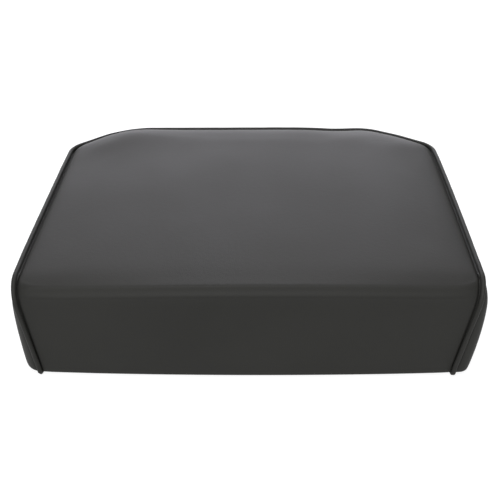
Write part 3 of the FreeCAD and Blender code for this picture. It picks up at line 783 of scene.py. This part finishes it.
DUST_Z = 0.0005  # its upper face, under the staples of the cover
DUST_THICKNESS = 0.0003
DUST_HEM = 0.010  # its border is turned in by this much, and lies lower by the cloth's fold
DUST_FOLD = 0.0002
DUST_SLACK = 0.0006  # and it hangs a little loose away from the border
DUST_FRONT_CUT = (0.016, 0.022)  # its front corners are cut off, across and deep
DUST_REAR_CUT = CORNER_DEPTH - 0.006
DUST_STEP = 0.006  # between its mesh's inner points, which keep clear of its edges and holes
DUST_CLEAR = 0.003
DUST_HOLE = 0.008  # radius of the hole under each bolt
HOLE_SIDES = 32
DUST_LOW, DUST_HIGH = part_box("dust_cover")
BOLTS = [(x, y) for x in (-0.120, 0.120) for y in (-0.100, 0.100)]


def dust_outline():
    """Outline of the dust cover, from the middle of its front round to the start again."""
    across, deep = DUST_HIGH.x, DUST_HIGH.y
    points = [
        (0, DUST_LOW.y),
        (across - DUST_FRONT_CUT[0], DUST_LOW.y),
        (across, DUST_LOW.y + DUST_FRONT_CUT[1]),
        (across, deep - DUST_REAR_CUT),
        (across - DUST_REAR_CUT / math.tan(CORNER_ANGLE), deep),
        (0, deep),
    ]
    half = rounded(points, [0.006, 0.006, 0.012, 0.02], step=0.004)
    return np.concatenate([half, (half * (-1, 1))[::-1][1:-1]])


def dust_cover(outline):
    """The cloth stapled under the seat, with its border turned in and a hole for each bolt."""
    points = [Vector(p) for p in outline]
    edges = [(i, (i + 1) % len(outline)) for i in range(len(outline))]
    for x, y in BOLTS:
        first = len(points)
        for angle in np.linspace(0, 2 * math.pi, HOLE_SIDES, endpoint=False):
            points.append(Vector((x + DUST_HOLE * math.cos(angle), y + DUST_HOLE * math.sin(angle))))
        edges += [(first + k, first + (k + 1) % HOLE_SIDES) for k in range(HOLE_SIDES)]
    for x in np.arange(-0.21, 0.211, DUST_STEP):
        for y in np.arange(-0.174, 0.175, DUST_STEP):
            clear = min(math.hypot(x - a, y - b) for a, b in BOLTS) > DUST_HOLE + DUST_CLEAR
            rim = np.sqrt(((outline - (x, y)) ** 2).sum(1).min())
            if clear and rim > DUST_CLEAR and inside(outline, x, y):
                points.append(Vector((x, y)))
    found, _, faces, *_ = geometry.delaunay_2d_cdt(points, edges, [], 0, 1e-6)
    kept = []
    for face in faces:
        centre = sum((found[i] for i in face), Vector((0, 0))) / len(face)
        in_hole = min(math.hypot(centre.x - a, centre.y - b) for a, b in BOLTS) < DUST_HOLE * 0.98
        if not in_hole and inside(outline, centre.x, centre.y):
            kept.append(tuple(reversed(face)))
    co = []
    for p in found:
        rim = np.sqrt(((outline - np.array(p)) ** 2).sum(1).min())
        fold = DUST_FOLD * (1 - ease((rim - DUST_HEM) / 0.002))
        slack = DUST_SLACK * ease((rim - 0.03) / 0.05)
        wave = noise.noise(Vector((p.x * 14, p.y * 9, 0.7)))
        co.append((p.x, p.y, DUST_Z - fold + slack * (0.4 + wave)))
    return mesh_object("dust_cover_cloth", co, kept, DUST_CLOTH)


def inside(outline, x, y):
    a, b = outline, np.roll(outline, -1, axis=0)
    crosses = (a[:, 1] > y) != (b[:, 1] > y)
    with np.errstate(divide="ignore", invalid="ignore"):
        where = a[:, 0] + (y - a[:, 1]) / (b[:, 1] - a[:, 1]) * (b[:, 0] - a[:, 0])
    return (crosses & (x < where)).sum() % 2 == 1


DUST_OUTLINE = dust_outline()
cloth = dust_cover(DUST_OUTLINE)
thickness = cloth.modifiers.new("thickness", "SOLIDIFY")
thickness.thickness = DUST_THICKNESS
thickness.offset = 1
baked(cloth)
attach(cloth, "root")
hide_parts("dust_cover")


# ---- Floor, light and camera ----


def white_floor():
    material = new_material("floor_white", (0.30, 0.30, 0.30), 0.9)
    shader = material.node_tree.nodes["Principled BSDF"]
    shader.inputs["Emission Color"].default_value = (1, 1, 1, 1)
    shader.inputs["Emission Strength"].default_value = 0.76
    shader.inputs["Specular IOR Level"].default_value = 0
    corners = [(-6, -6, 0), (6, -6, 0), (6, 6, 0), (-6, 6, 0)]
    floor = mesh_object("floor", corners, [(0, 1, 2, 3)], material, smooth=False)


def softbox(name, place, aim, size, power, colour=(1, 1, 1)):
    light = bpy.data.lights.new(name, "AREA")
    light.shape = "RECTANGLE"
    light.size, light.size_y = size
    light.energy = power
    light.color = colour
    obj = bpy.data.objects.new(name, light)
    obj.location = place
    obj.rotation_euler = (Vector(aim) - Vector(place)).to_track_quat("-Z", "Y").to_euler()
    bpy.context.scene.collection.objects.link(obj)


white_floor()
softbox("overhead", (0, 0, 1.6), (0, 0, 0.05), (1.8, 1.2), 20, (0.96, 0.95, 1.0))
softbox("backdrop", (-0.15, 2.8, 1.2), (0, 0, 0.3), (3.0, 2.6), 87, (0.94, 0.93, 1.0))
softbox("front_wall", (-0.4, -2.7, 2.4), (0, 0, 0.1), (3.0, 1.6), 112)

world = bpy.data.worlds.new("studio")
world.use_nodes = True
background = world.node_tree.nodes["Background"]
background.inputs["Color"].default_value = (1, 1, 1, 1)
background.inputs["Strength"].default_value = 0.3
bpy.context.scene.world = world
bpy.context.scene.view_settings.view_transform = "Standard"


def photo_camera():
    """The camera in front of the seat and above it, looking down."""
    pitch, yaw, roll = math.radians(31.34), math.radians(-1.335), math.radians(-0.744)
    forward = Vector(
        (math.sin(yaw) * math.cos(pitch), math.cos(yaw) * math.cos(pitch), -math.sin(pitch))
    )
    level = Vector((math.cos(yaw), -math.sin(yaw), 0))
    upright = level.cross(forward)
    right = math.cos(roll) * level + math.sin(roll) * upright
    up = -math.sin(roll) * level + math.cos(roll) * upright
    data = bpy.data.cameras.new("camera")
    data.lens = 62.2
    data.sensor_width = 36
    data.clip_start = 0.01
    camera = bpy.data.objects.new("camera", data)
    axes = Matrix((right, up, -forward)).transposed().to_4x4()
    camera.matrix_world = Matrix.Translation((0.0203, -0.8849, 0.573)) @ axes
    bpy.context.scene.collection.objects.link(camera)
    bpy.context.scene.camera = camera


photo_camera()
